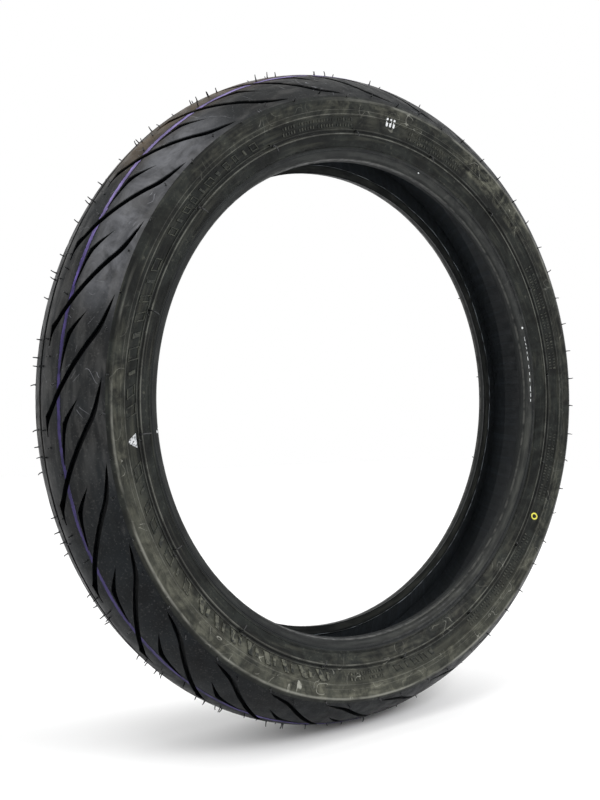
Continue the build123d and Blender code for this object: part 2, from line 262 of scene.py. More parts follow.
class Places:
    """Sockets that say where on the tyre a point of the surface is."""

    def __init__(self, tree):
        self.tree = tree
        self.here = add(tree, "TexCoord").outputs["Object"]
        flat = add(tree, "VectorMath", {0: self.here, 1: (1, 0, 1)}, operation="MULTIPLY")
        self.radius = add(tree, "VectorMath", {0: flat.outputs[0]}, operation="LENGTH").outputs["Value"]
        self.round = add(tree, "VectorMath", {0: flat.outputs[0]}, operation="NORMALIZE").outputs[0]
        self.across = add(tree, "SeparateXYZ", {0: self.here}).outputs["Y"]
        self.off_middle = add(tree, "Math", {0: self.across}, operation="ABSOLUTE").outputs[0]

    def grain(self, size, detail=3.0, roughness=0.55, distortion=0.0):
        """Even noise with grains of a size in metres."""
        inputs = {"Vector": self.here, "Scale": 1 / size, "Detail": detail}
        inputs |= {"Roughness": roughness, "Distortion": distortion}
        return add(self.tree, "TexNoise", inputs).outputs["Fac"]

    def streaks(self, along, across, detail=3.0):
        """Noise drawn out round the wheel: grain length and grain width in metres."""
        turn = CROWN_RADIUS / along
        wide = 1 / across
        line = add(self.tree, "VectorMath", {0: self.here, 1: (0, wide, 0)}, operation="MULTIPLY")
        inputs = {0: self.round, 1: (turn, 0, turn), 2: line.outputs[0]}
        vector = add(self.tree, "VectorMath", inputs, operation="MULTIPLY_ADD").outputs[0]
        inputs = {"Vector": vector, "W": product(self.tree, self.radius, wide), "Scale": 1.0}
        inputs["Detail"] = detail
        return add(self.tree, "TexNoise", inputs, noise_dimensions="4D").outputs["Fac"]

    def turn(self):
        """Angle round the wheel, in radians."""
        parts = add(self.tree, "SeparateXYZ", {0: self.round}).outputs
        return add(self.tree, "Math", {0: parts["Z"], 1: parts["X"]}, operation="ARCTAN2").outputs[0]

    def sector(self, angle, spread, soft=0.6):
        """One round an angle of the wheel, fading out at a spread to each side."""
        aim = (cos(radians(angle)), 0, sin(radians(angle)))
        dot = add(self.tree, "VectorMath", {0: self.round, 1: aim}, operation="DOT_PRODUCT")
        edge = cos(radians(spread))
        return ramp(self.tree, dot.outputs["Value"], edge, edge + (1 - edge) * soft)

    def band(self, low, high, soft):
        """One between two radii in millimetres."""
        return window(self.tree, self.radius, low * MM, high * MM, soft * MM)


def finish_surface(tree, shader, colour, roughness=None, height=None, depth=0.2, strength=1.0):
    """Connect a colour, a roughness and a bump whose depth is in millimetres."""
    tree.links.new(colour, shader.inputs["Base Color"])
    if roughness is not None:
        tree.links.new(roughness, shader.inputs["Roughness"])
    if height is not None:
        bump = add(tree, "Bump", {"Height": height, "Distance": depth * MM, "Strength": strength})
        tree.links.new(bump.outputs[0], shader.inputs["Normal"])


def dress(material, *names):
    """Give CAD nodes a better material in the slot they already have."""
    for name in names:
        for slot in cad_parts[name].material_slots:
            slot.material = material
    print(material.name, "->", ", ".join(names))


# %% [markdown]
# ## Tread rubber
# Tread rubber is natural and styrene rubber black with soot, pressed against a sandblasted
# steel mould. It is a satin black with a fine grain. A film of wax and talc greys the flats
# and leaves the grooves darker, which is painted shade. The sharp edges of the blocks get a
# painted highlight, and a painted sheen lies near the shoulder at the upper left.
# The depth under the tread's round section is worked out in the nodes, so the dust can lie
# on the flats and stay off the grooves.

# %% Tread material
CROWN_ZONE = CROWN_ARC * sin(radians(CROWN_ARC_END))


def depth_below_tread(tree, places):
    """Depth of a point under the tread's round section, in metres."""
    depths = []
    for centre, arc in ((CROWN_CENTRE, CROWN_ARC), (SHOULDER_CENTRE, SHOULDER_ARC)):
        dy = add(tree, "Math", {0: places.off_middle, 1: centre[0]}, operation="SUBTRACT")
        dr = add(tree, "Math", {0: places.radius, 1: centre[1]}, operation="SUBTRACT")
        out = add(tree, "CombineXYZ", {0: dy.outputs[0], 1: dr.outputs[0]}).outputs[0]
        length = add(tree, "VectorMath", {0: out}, operation="LENGTH").outputs["Value"]
        depths.append(add(tree, "Math", {0: arc, 1: length}, operation="SUBTRACT").outputs[0])
    on_shoulder = add(tree, "Math", {0: places.off_middle, 1: CROWN_ZONE}, operation="GREATER_THAN")
    inputs = {"Factor": on_shoulder.outputs[0], "A": depths[0], "B": depths[1]}
    return add(tree, "Mix", inputs, data_type="FLOAT").outputs["Result"]


TREAD_CLEAN_AND_GROOVE_SHADE = linear("#050709")
TREAD_GREY = linear("#0f1316")
TREAD_DUST_AND_HIGHLIGHT = linear("#6c6b69")
SHEEN_AND_SCRATCH_GREY = linear("#7e7f84")
GOLD_WAX = linear("#5a4a34")
ROSE_WAX = linear("#553f42")
# angle and spread in degrees, colour, strength
TINTED_WAX = [(128.0, 20.0, GOLD_WAX, 0.62), (99.0, 24.0, ROSE_WAX, 0.45)]

tread_rubber, tree, shader = new_material("moulded_tread_rubber", 0.5, Specular_IOR_Level=0.11)
places = Places(tree)
depth = depth_below_tread(tree, places)
flat = ramp(tree, depth, 0.2 * MM, 1.4 * MM, 1.0, 0.0)
# the top of the groove walls, where a painted highlight goes
edge = window(tree, depth, 0.12 * MM, 0.5 * MM, 0.1 * MM)

# a grey film on the flats, and dust where a hand or a stack has rubbed; round the upper left this dust
# is partly painted sheen
cloud = ramp(tree, places.grain(0.034, 4.0), 0.35, 0.7)
smear = ramp(tree, places.streaks(0.03, 0.006, 4.0), 0.38, 0.72)
speckle = ramp(tree, places.grain(0.0016, 2.0), 0.56, 0.72)
# the grey film stays on the flats, so the grooves keep the darker colour: painted shade in the grooves
colour = blend_colour(tree, product(tree, flat, cloud), TREAD_CLEAN_AND_GROOVE_SHADE, TREAD_GREY)
# dust round the upper left, partly painted sheen where the light falls there
dusty = product(tree, flat, places.sector(143.0, 62.0), ramp(tree, smear, 0.0, 1.0, 0.25, 1.0))
colour = blend_colour(tree, product(tree, dusty, 0.2), colour, TREAD_DUST_AND_HIGHLIGHT)

# painted sheen near the shoulder at the upper left, and tinted wax along the crown
near_shoulder = window(tree, places.off_middle, 27 * MM, 50 * MM, 8 * MM)
painted_shoulder_sheen = product(tree, flat, places.sector(147.0, 24.0, 0.9), near_shoulder)
painted_sheen_grain = ramp(tree, places.grain(0.022, 6.0, 0.66, 1.0), 0.3, 0.7, 0.25, 1.0)
colour = blend_colour(tree, product(tree, painted_shoulder_sheen, painted_sheen_grain, 0.48), colour, SHEEN_AND_SCRATCH_GREY)
wax_grain = ramp(tree, places.grain(0.018, 6.0, 0.66), 0.3, 0.62, 0.3, 1.0)
for angle, spread, wax, strength in TINTED_WAX:
    crown = window(tree, places.across, -22 * MM, 2 * MM, 11 * MM)
    waxed = product(tree, flat, places.sector(angle, spread, 0.9), crown, wax_grain)
    colour = blend_colour(tree, product(tree, waxed, strength), colour, wax)

# thin curved scratches and specks, and a painted highlight along the edges of the blocks
thin = window(tree, places.grain(0.034, 1.0, 0.5, 1.6), 0.4975, 0.5025, 0.002)
short = ramp(tree, places.grain(0.011, 2.0), 0.54, 0.6)
scratch = product(tree, flat, thin, short, places.sector(130.0, 60.0, 0.5))
colour = blend_colour(tree, product(tree, scratch, 0.8), colour, SHEEN_AND_SCRATCH_GREY)
colour = blend_colour(tree, product(tree, speckle, flat, 0.12), colour, TREAD_DUST_AND_HIGHLIGHT)
colour = blend_colour(tree, product(tree, edge, smear, 0.5), colour, TREAD_DUST_AND_HIGHLIGHT)

# the sandblasted grain of the mould
rough = ramp(tree, places.grain(0.012, 5.0), 0.3, 0.7, 0.36, 0.58)
grains = {0: places.grain(0.0011, 4.0), 1: places.grain(0.0065, 3.0)}
height = add(tree, "Math", grains, operation="ADD")
finish_surface(tree, shader, colour, rough, height.outputs[0], 0.16, 0.55)
dress(tread_rubber, "tread_cap")

# %% [markdown]
# ## Sidewall rubber
# The sidewall compound flexes, so it is softer and has more wax in it than the tread. Wax
# and talc bloom out in patches, and handling rubs the proud shoulder edge to a dry olive
# grey. The mould leaves faint lines round the wheel. Bands of radius times sectors of the
# wheel put each patch where a stacked tyre gets rubbed. A smooth olive sheen over the lower
# outer band is painted, and so are highlights on the ribs' crests and shade in the rim groove.

# %% Sidewall material
SIDE_BLACK = linear("#0a0c0b")
SIDE_GREY = linear("#1b1e1c")
OLIVE_DUST_AND_SHEEN = linear("#66665a")
PALE_DUST = linear("#a3a39a")

# angle of the wheel, spread in degrees, lower and upper radius in mm, strength
SCUFFS = [
    (296.0, 66.0, 250.0, 263.0, 0.5),
    (244.0, 42.0, 239.0, 263.0, 0.5),
    (196.0, 34.0, 252.0, 263.5, 0.42),
    (54.0, 15.0, 246.0, 263.0, 0.8),
    (20.0, 30.0, 252.0, 263.0, 0.2),
    (78.0, 32.0, 241.0, 263.0, 0.2),
    (112.0, 44.0, 250.0, 263.0, 0.26),
    (290.0, 44.0, 226.0, 240.0, 0.3),
]
# lower and upper radius in mm of a painted highlight on a rib's crest
# or painted shade on a groove's floor, colour, strength
RIB_HIGHLIGHTS_AND_GROOVE_SHADE = [
    (235.0, 236.1, "#a3a39a", 0.22),
    (236.9, 238.0, "#000000", 0.8),
    (238.9, 239.5, "#a3a39a", 0.12),
    (250.7, 251.4, "#a3a39a", 0.2),
    (254.3, 254.9, "#a3a39a", 0.12),
]
# where a smooth painted sheen lies: angle and spread, then lower and upper radius and fade in mm
SIDE_SHEEN_SECTOR, SIDE_SHEEN_BAND = (252.0, 78.0), (243.0, 263.5, 4.0)
# angle and spread in degrees, strength of the wear on the shoulder's sharp edge
WORN_EDGE = [(255.0, 85.0, 0.34), (60.0, 50.0, 0.3), (178.0, 22.0, 0.22)]


def scuffed(tree, places, colour, scuffs, dust, scratch):
    """Lay rubbed, dusty patches over a colour, with thin curved scratches in them."""
    rub = ramp(tree, places.grain(0.017, 7.0, 0.72, 0.8), 0.38, 0.66)
    broken = ramp(tree, places.streaks(0.014, 0.003, 6.0), 0.34, 0.66, 0.25, 1.0)
    thin = window(tree, places.grain(0.03, 1.0, 0.5, 1.4), 0.497, 0.504, 0.003)
    short = ramp(tree, places.grain(0.013, 2.0), 0.5, 0.56)
    for angle, spread, low, high, strength in scuffs:
        there = product(tree, places.sector(angle, spread, 0.8), places.band(low, high, 1.6))
        colour = blend_colour(tree, product(tree, there, rub, broken, strength), colour, dust)
        colour = blend_colour(tree, product(tree, there, thin, short, strength), colour, scratch)
    return colour


def sidewall_material(name, strength):
    """Waxy moulded rubber with rubbed patches, for the sidewall and the shoulder strip."""
    material, tree, shader = new_material(name, 0.5, Specular_IOR_Level=0.13)
    places = Places(tree)
    cloud = ramp(tree, places.grain(0.024, 5.0, 0.6, 0.8), 0.38, 0.66)
    colour = blend_colour(tree, cloud, SIDE_BLACK, SIDE_GREY)
    lines = ramp(tree, places.streaks(0.045, 0.003, 4.0), 0.5, 0.75)
    colour = blend_colour(tree, product(tree, lines, 0.16), colour, OLIVE_DUST_AND_SHEEN)
    # painted sheen: a smooth olive lift over the lower outer band
    painted_side_sheen = product(tree, places.sector(*SIDE_SHEEN_SECTOR), places.band(*SIDE_SHEEN_BAND))
    painted_side_sheen = product(tree, painted_side_sheen, ramp(tree, places.streaks(0.03, 0.006, 6.0), 0.32, 0.68, 0.3, 1.0))
    colour = blend_colour(tree, product(tree, painted_side_sheen, 0.22), colour, OLIVE_DUST_AND_SHEEN)
    colour = scuffed(tree, places, colour, SCUFFS, OLIVE_DUST_AND_SHEEN, PALE_DUST)
    fine = ramp(tree, places.grain(0.0028, 4.0, 0.7, 0.6), 0.57, 0.7)
    colour = blend_colour(tree, product(tree, fine, cloud, 0.3), colour, OLIVE_DUST_AND_SHEEN)
    # painted highlights on the ribs' crests and painted shade in the rim groove
    for low, high, tint, amount in RIB_HIGHLIGHTS_AND_GROOVE_SHADE:
        line = product(tree, places.band(low, high, 0.35), ramp(tree, cloud, 0.0, 1.0, 0.4, 1.0))
        colour = blend_colour(tree, product(tree, line, amount), colour, linear(tint))
    broken = ramp(tree, places.streaks(0.03, 0.006, 5.0), 0.3, 0.62)
    for angle, spread, wear in WORN_EDGE:
        line = product(tree, places.band(261.6, 263.4, 0.7), places.sector(angle, spread, 0.8))
        colour = blend_colour(tree, product(tree, line, broken, wear), colour, PALE_DUST)
    rough = ramp(tree, places.grain(0.009, 5.0), 0.3, 0.7, 0.36, 0.62)
    lumps = product(tree, places.grain(0.006, 4.0, 0.6, 1.5), 1.4)
    height = add(tree, "Math", {0: lumps, 1: places.grain(0.0014, 4.0)}, operation="ADD").outputs[0]
    finish_surface(tree, shader, colour, rough, height, 0.22, strength)
    return material


dress(sidewall_material("waxy_sidewall_rubber", 0.6), "sidewall_right", "sidewall_left")
dress(sidewall_material("shoulder_rubber", 0.5), "shoulder_strip_right", "shoulder_strip_left")

# %% [markdown]
# ## Bead and chafer rubber
# The chafer is the hard rubber that seats on the rim. Its mould ring is machined, so it is
# finer and a little shinier than the sidewall, and talc collects on its bevel. A thin
# highlight along the edge of the heel is painted.

# %% Chafer material
CHAFER_BLACK = linear("#121415")
CHAFER_GREY = linear("#1a1d1d")
TALC_AND_HIGHLIGHT_GREY = linear("#85857f")
HEEL_SCUFFS = [(40.0, 70.0, 217.0, 226.0, 0.1)]

chafer_rubber, tree, shader = new_material("hard_chafer_rubber", 0.44, Specular_IOR_Level=0.17)
places = Places(tree)
cloud = ramp(tree, places.streaks(0.03, 0.004, 4.0), 0.35, 0.68)
colour = blend_colour(tree, cloud, CHAFER_BLACK, CHAFER_GREY)
bevel_dust = product(tree, places.band(216.2, 221.6, 0.8), ramp(tree, cloud, 0, 1, 0.35, 1.0))
low_dust = product(tree, bevel_dust, places.sector(315.0, 48.0))
colour = blend_colour(tree, product(tree, bevel_dust, 0.05), colour, TALC_AND_HIGHLIGHT_GREY)
colour = blend_colour(tree, product(tree, low_dust, 0.1), colour, OLIVE_DUST_AND_SHEEN)
# painted highlight along the edge of the heel, broken by streaks
heel_face = window(tree, places.off_middle, 29.4 * MM, 31.6 * MM, 0.3 * MM)
painted_heel_highlight = product(tree, places.band(215.5, 216.9, 0.3), heel_face)
heel_highlight_breaks = ramp(tree, places.streaks(0.01, 0.01, 4.0), 0.35, 0.6)
colour = blend_colour(tree, product(tree, painted_heel_highlight, heel_highlight_breaks, 0.2), colour, TALC_AND_HIGHLIGHT_GREY)
colour = scuffed(tree, places, colour, HEEL_SCUFFS, TALC_AND_HIGHLIGHT_GREY, TALC_AND_HIGHLIGHT_GREY)
rough = ramp(tree, places.grain(0.006, 4.0), 0.3, 0.7, 0.36, 0.58)
finish_surface(tree, shader, colour, rough, places.streaks(0.03, 0.0009, 3.0), 0.08, 0.5)
dress(chafer_rubber, "chafer_right", "chafer_left")

# %% [markdown]
# ## Inner liner
# The liner is a thin airtight sheet of butyl rubber, pressed by a rubber bladder. The
# bladder has fine vent lines that cross the liner from bead to bead, and its release spray
# dries on the rubber in faint bluish runs. The liner is darker towards the crown.

# %% Liner material
LINER_BLACK = linear("#2d3134")
LINER_BLUE = linear("#3b4148")
LINER_CROWN = linear("#14181a")
VENT_LINE_STEP = 9.0 * MM

liner_rubber, tree, shader = new_material("butyl_liner_rubber", 0.5, Specular_IOR_Level=0.3)
places = Places(tree)
runs = ramp(tree, places.streaks(0.004, 0.05, 3.0), 0.45, 0.75)
colour = blend_colour(tree, product(tree, runs, 0.7), LINER_BLACK, LINER_BLUE)
mist = ramp(tree, places.grain(0.03, 4.0), 0.5, 0.75)
colour = blend_colour(tree, product(tree, mist, 0.35), colour, LINER_BLUE)
crown = ramp(tree, places.radius, 240 * MM, 284 * MM)
colour = blend_colour(tree, product(tree, crown, 0.35), colour, LINER_CROWN)
rough = ramp(tree, places.grain(0.01, 4.0), 0.3, 0.7, 0.42, 0.62)
lines_round = float(round(2 * pi * CROWN_RADIUS / VENT_LINE_STEP))
wave = add(tree, "Math", {0: product(tree, places.turn(), lines_round)}, operation="SINE")
vent_lines = ramp(tree, wave.outputs[0], 0.86, 1.0)
pores = product(tree, places.grain(0.002, 3.0), 0.5)
height = add(tree, "Math", {0: vent_lines, 1: pores}, operation="ADD")
finish_surface(tree, shader, colour, rough, height.outputs[0], 0.2, 0.5)
dress(liner_rubber, "inner_liner")

# %% [markdown]
# ## Pieces sealed inside
# Between liner and tread lie plies of nylon cord, a hard filler on each bead and hoops of
# bronze-plated wire. They only show if the tyre is taken apart, and each still gets the
# finish that it has on the bench: cords that run on the bias, calendered sheet and drawn
# wire.

# %% Plies, sheets and wire
CORD_STEP = 1.4 * MM


def ply_material(name, dark, light, slope):
    """Nylon cords in black rubber, running aslant round the wheel by a slope."""
    material, tree, shader = new_material(name, 0.6, 1.5)
    places = Places(tree)
    cords = float(round(2 * pi * CROWN_RADIUS / CORD_STEP))
    slant = product(tree, places.across, slope * 2 * pi / CORD_STEP)
    phase = add(tree, "Math", {0: product(tree, places.turn(), cords), 1: slant}, operation="ADD")
    wave = add(tree, "Math", {0: phase.outputs[0]}, operation="SINE").outputs[0]
    cord = ramp(tree, wave, -0.3, 0.8)
    colour = blend_colour(tree, product(tree, cord, places.grain(0.006, 4.0)), dark, light)
    rough = ramp(tree, places.grain(0.003), 0.3, 0.7, 0.5, 0.75)
    finish_surface(tree, shader, colour, rough, wave, 0.25, 0.6)
    return material


def sheet_material(name, dark, light, grain, roughness):
    """Calendered rubber sheet: faint roll lines and a fine even grain."""
    material, tree, shader = new_material(name, roughness)
    places = Places(tree)
    roll = ramp(tree, places.streaks(0.05, grain * 2, 4.0), 0.35, 0.7)
    colour = blend_colour(tree, roll, dark, light)
    rough = ramp(tree, places.grain(grain * 4), 0.3, 0.7, roughness - 0.1, roughness + 0.1)
    finish_surface(tree, shader, colour, rough, places.grain(grain), 0.1, 0.5)
    return material


PLIES = [
    ("nylon_breaker_outer", "breaker_ply_outer", "#191a1b", "#4c453a", 0.5),
    ("nylon_breaker_inner", "breaker_ply_inner", "#191a1b", "#4c453a", -0.5),
    ("nylon_carcass_outer", "carcass_ply_outer", "#151617", "#43403a", 0.9),
    ("nylon_carcass_inner", "carcass_ply_turned_up", "#151617", "#43403a", -0.9),
]
for name, node_name, dark, light, slope in PLIES:
    dress(ply_material(name, linear(dark), linear(light), slope), node_name)
flipper_cloth = ply_material("nylon_flipper_cloth", linear("#17181a"), linear("#55503f"), 1.0)
dress(flipper_cloth, "bead_flipper_left", "bead_flipper_right")

FILLERS = ["bead_filler_left", "bead_filler_right"]
CORES = ["bead_core_rubber_left", "bead_core_rubber_right"]
SHEETS = [
    # name, nodes, dark and light colour, grain in metres, roughness
    ("calendered_base_rubber", ["tread_base"], "#1a1a1b", "#2c2b2a", 0.0014, 0.6),
    ("hard_filler_rubber", FILLERS, "#141416", "#262628", 0.001, 0.45),
    ("core_rubber", CORES, "#1b1a19", "#302d29", 0.0012, 0.55),
]
for name, names, dark, light, grain, roughness in SHEETS:
    dress(sheet_material(name, linear(dark), linear(light), grain, roughness), *names)

bead_wire, tree, shader = new_material("bronze_plated_wire", 0.32, 1.5, Metallic=1.0)
places = Places(tree)
drawn = ramp(tree, places.streaks(0.02, 0.00012, 3.0), 0.35, 0.7)
colour = blend_colour(tree, drawn, linear("#8a6a43"), linear("#c79a63"))
rough = ramp(tree, places.grain(0.004), 0.3, 0.7, 0.24, 0.42)
finish_surface(tree, shader, colour, rough, drawn, 0.01, 0.4)
dress(bead_wire, "bead_wires_left", "bead_wires_right")

# %% [markdown]
# ## Paint marks
# Tyre paints are thin and go onto waxy rubber, so they are never solid: the stripe is
# blotchy and wanders, because it is sprayed from a nozzle while the tread strip moves under
# it, and stamped marks miss wherever the pad did not touch. Where paint is missing, its film
# takes the colour of the rubber.

# %% Paint materials
STRIPE_MIDDLE = -22.8 * MM
STRIPE_WANDER = 0.7 * MM


def paint_material(name, light, dark, cover, roughness=0.55):
    """Thin stamped paint that misses in places. Cover runs from 0, bare, to 1, solid."""
    material, tree, shader = new_material(name, roughness, 1.5)
    places = Places(tree)
    tint = ramp(tree, places.grain(0.0035, 4.0), 0.35, 0.7)
    paint = blend_colour(tree, tint, linear(light), linear(dark))
    missing = ramp(tree, places.grain(0.0018, 5.0, 0.7), cover - 0.06, cover + 0.06)
    colour = blend_colour(tree, missing, paint, SIDE_GREY)
    rough = ramp(tree, missing, 0.0, 1.0, roughness, roughness + 0.12)
    finish_surface(tree, shader, colour, rough, missing, 0.06, 0.6)
    return material


yellow_paint = paint_material("yellow_stamp_paint", "#cfcb45", "#a9a337", 0.66)
white_paint = paint_material("white_stamp_paint", "#c4c6c8", "#8d9093", 0.54)
solid_white = paint_material("white_pen_paint", "#d4d6d7", "#a6a9ab", 0.66)
dress(yellow_paint, "balance_mark")
dress(white_paint, "inspection_mark")

violet, tree, shader = new_material("violet_stripe_paint", 0.5, 1.5, Specular_IOR_Level=0.15)
places = Places(tree)
left_edge, right_edge = STRIPE_MIDDLE - STRIPE_WANDER, STRIPE_MIDDLE + STRIPE_WANDER
wander = ramp(tree, places.streaks(0.05, 5.0, 3.0), 0.2, 0.8, left_edge, right_edge)
offset = add(tree, "Math", {0: places.across, 1: wander}, operation="SUBTRACT")
distance = add(tree, "Math", {0: offset.outputs[0]}, operation="ABSOLUTE").outputs[0]
ragged = ramp(tree, places.grain(0.0016, 4.0), 0.3, 0.7, 0.95 * MM, 1.55 * MM)
beyond = add(tree, "Math", {0: distance, 1: ragged}, operation="SUBTRACT").outputs[0]
solid = ramp(tree, beyond, -0.25 * MM, 0.25 * MM, 1.0, 0.0)
blotch = ramp(tree, places.streaks(0.011, 0.002, 4.0), 0.34, 0.66, 0.45, 1.0)
tint = ramp(tree, places.grain(0.012, 4.0), 0.35, 0.7)
paint = blend_colour(tree, tint, linear("#40356b"), linear("#5b4d8b"))
# painted light and shade on the stripe: a lighter violet at the upper left where the light falls, a
# darker one at the lower left in shade
painted_lit_violet = blend_colour(tree, product(tree, places.sector(118.0, 44.0), 0.6), paint, linear("#9486b8"))
painted_shaded_violet = blend_colour(tree, product(tree, places.sector(205.0, 46.0), 0.75), painted_lit_violet, linear("#272148"))
colour = blend_colour(tree, product(tree, solid, blotch), TREAD_GREY, painted_shaded_violet)
rough = ramp(tree, blotch, 0.4, 1.0, 0.62, 0.46)
finish_surface(tree, shader, colour, rough, places.grain(0.0012, 4.0), 0.1, 0.5)
dress(violet, "tread_colour_stripe")

# %% [markdown]
# ## Vent hairs on the tread
# A tyre mould has hundreds of tiny holes that let the air out. Hot rubber follows the air
# into them, and each hole leaves a hair when the tyre is pulled from the mould. The hairs
# bend as they tear free and when tyres are stacked. A hair is a hexagon whose face is
# extruded in short steps, turned and narrowed at each one. Four hairs with different bends
# are enough: each copy is also turned at random about its own root.

# %% Hair shape
HAIR_STEPS = 5
HAIR_SIDES = 6


def hair_mesh(length, radius, bend, foot=1.7):
    """Hair that stands along Z and bends towards X by an angle in degrees."""
    bm = bmesh.new()
    bmesh.ops.create_circle(bm, cap_ends=True, segments=HAIR_SIDES, radius=radius * foot)
    step = length / HAIR_STEPS
    direction = Vector((0, 0, 1))
    tip = bm.faces[:]
    centre = Vector()
    for index in range(HAIR_STEPS):
        made = bmesh.ops.extrude_face_region(bm, geom=tip, use_keep_orig=index == 0)["geom"]
        tip = [part for part in made if isinstance(part, bmesh.types.BMFace)]
        ring = [part for part in made if isinstance(part, bmesh.types.BMVert)]
        bmesh.ops.translate(bm, verts=ring, vec=direction * step)
        centre += direction * step
        turn = Matrix.Rotation(radians(bend) / HAIR_STEPS, 3, "Y")
        bmesh.ops.rotate(bm, verts=ring, cent=centre, matrix=turn)
        narrow = 1 / foot if index == 0 else 0.9
        to_centre = Matrix.Translation(-centre)
        bmesh.ops.scale(bm, verts=ring, vec=(narrow, narrow, narrow), space=to_centre)
        direction = turn @ direction
    bmesh.ops.recalc_face_normals(bm, faces=bm.faces[:])
    mesh = bpy.data.meshes.new("hair")
    bm.to_mesh(mesh)
    bm.free()
    return mesh


def standing(root, outward, towards):
    """Matrix that puts a hair's root at a point, its Z along outward and its bend towards."""
    x = (towards - outward * towards.dot(outward)).normalized()
    y = outward.cross(x)
    turn = Matrix((x, y, outward)).transposed().to_4x4()
    return Matrix.Translation(root) @ turn


def plant(bm, mesh, matrix):
    """Copy a small mesh into a bigger one at a place."""
    before = len(bm.verts)
    bm.from_mesh(mesh)
    bm.verts.ensure_lookup_table()
    bmesh.ops.transform(bm, matrix=matrix, verts=bm.verts[before:])


def new_piece(name, bm, material, replaces=None, smooth=True):
    """Make a bmesh an object that rides on the tyre."""
    mesh = bpy.data.meshes.new(name)
    for face in bm.faces:
        face.smooth = smooth
    bm.to_mesh(mesh)
    bm.free()
    mesh.materials.append(material)
    piece = bpy.data.objects.new(name, mesh)
    bpy.context.collection.objects.link(piece)
    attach(piece, "root")
    if replaces:
        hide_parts(replaces)
    print(name, len(mesh.polygons), "faces")
    return piece


# %% [markdown]
# ## Hair rubber
# A hair is the same rubber, stretched as it tears out of its hole, so it is smoother and a
# little shinier than the moulded face it stands on.

# %% Hair material
hair_rubber, tree, shader = new_material("torn_hair_rubber", 0.42, Specular_IOR_Level=0.5)
places = Places(tree)
tone = ramp(tree, places.grain(0.0015, 3.0), 0.35, 0.7)
colour = blend_colour(tree, tone, linear("#0f1011"), linear("#2a2b2d"))
rough = ramp(tree, places.grain(0.001), 0.3, 0.7, 0.34, 0.55)
finish_surface(tree, shader, colour, rough, tone, 0.05, 0.5)

# %% [markdown]
# ## Hairs of the tread
# Every repeat of the pattern has six hairs on each half, in the flats between the grooves.
# Where the tyre stands on them they are flattened to just above the floor.

# %% Tread hairs
TREAD_HAIR_PLACES = [(-4.5, 3.2), (26.5, 7.4), (3.5, 44.6), (37.0, 57.0), (50.0, 51.8), (57.0, 59.0)]
HAIR_RADIUS = 0.55 * MM
HAIR_LENGTH = 4.7 * MM
HAIR_BENDS = [4.0, 14.0, 26.0, 48.0]
HAIR_SINK = 0.25 * MM
FLOOR_HEIGHT = -296.3 * MM
FLOOR_GAP = 0.1 * MM
SQUEEZE = 0.02

chance = random.Random(17)
bends = [hair_mesh(HAIR_LENGTH, HAIR_RADIUS, bend) for bend in HAIR_BENDS]
bm = bmesh.new()
for angle in pitch_angles():
    for along, across in TREAD_HAIR_PLACES:
        turned_by, y, radius, lean = tread_place(along * MM, across * MM)
        for side in (1, -1):
            at = angle + turned_by
            root = in_space(at, side * y, radius)
            outward = in_space(at, side * sin(radians(lean)), cos(radians(lean)))
            spin = Matrix.Rotation(chance.uniform(0, 2 * pi), 3, outward)
            towards = spin @ in_space(at + 90, 0, 1)
            size = chance.uniform(0.72, 1.06)
            place = standing(root - outward * HAIR_SINK, outward, towards)
            plant(bm, chance.choice(bends), place @ Matrix.Diagonal((1, 1, size, 1)))
for vertex in bm.verts:
    squeezed = FLOOR_HEIGHT + FLOOR_GAP + SQUEEZE * (vertex.co.z - FLOOR_HEIGHT)
    vertex.co.z = max(vertex.co.z, squeezed)
new_piece("tread_hairs", bm, hair_rubber, "tread_vent_spews")

# %% [markdown]
# ## Vent hairs on the sidewalls
# The hairs at the rim groove are longer. They are pressed against the sidewall and point to
# the bead, because the mould ring slides past them as it opens. A second, shorter one stands
# beside each.

# %% Sidewall hairs
SIDE_HAIRS = 16
FIRST_SIDE_HAIR = 6.6
SIDE_HAIR_ROOT = 238.2 * MM
SHORT_HAIR_ROOT = 239.6 * MM
# lowest and highest length in mm, and bend in degrees
LONG_HAIR_LENGTH, LONG_HAIR_BEND = (8.0, 10.5), (62, 88)
SHORT_HAIR_LENGTH, SHORT_HAIR_BEND = (2.6, 4.0), (20, 70)
SHORT_HAIR_SINK = 0.4 * MM


def side_outward(angle, radius, side):
    """Outward direction of a sidewall's face."""
    lean_y, lean_r = side_lean(radius)
    return in_space(angle, side * lean_y, lean_r)


for side, word in ((1, "left"), (-1, "right")):
    bm = bmesh.new()
    for index in range(SIDE_HAIRS):
        at = FIRST_SIDE_HAIR + index * 360 / SIDE_HAIRS
        length = chance.uniform(*LONG_HAIR_LENGTH) * MM
        long_hair = hair_mesh(length, HAIR_RADIUS * 1.2, chance.uniform(*LONG_HAIR_BEND))
        outward = side_outward(at, SIDE_HAIR_ROOT, side)
        towards = in_space(at, 0, -1) + in_space(at + 90, 0, 1) * chance.uniform(-0.35, 0.35)
        root = in_space(at, side * side_y(SIDE_HAIR_ROOT), SIDE_HAIR_ROOT) - outward * HAIR_SINK
        plant(bm, long_hair, standing(root, outward, towards))
        at += chance.uniform(0.7, 1.0)
        length = chance.uniform(*SHORT_HAIR_LENGTH) * MM
        short_hair = hair_mesh(length, HAIR_RADIUS * 0.85, chance.uniform(*SHORT_HAIR_BEND))
        outward = side_outward(at, SHORT_HAIR_ROOT, side)
        root = in_space(at, side * side_y(SHORT_HAIR_ROOT), SHORT_HAIR_ROOT)
        root -= outward * SHORT_HAIR_SINK
        plant(bm, short_hair, standing(root, outward, in_space(at + 90, 0, 1)))
    name = f"sidewall_hairs_{word}"
    new_piece(name, bm, hair_rubber, f"sidewall_vent_spews_{word}")

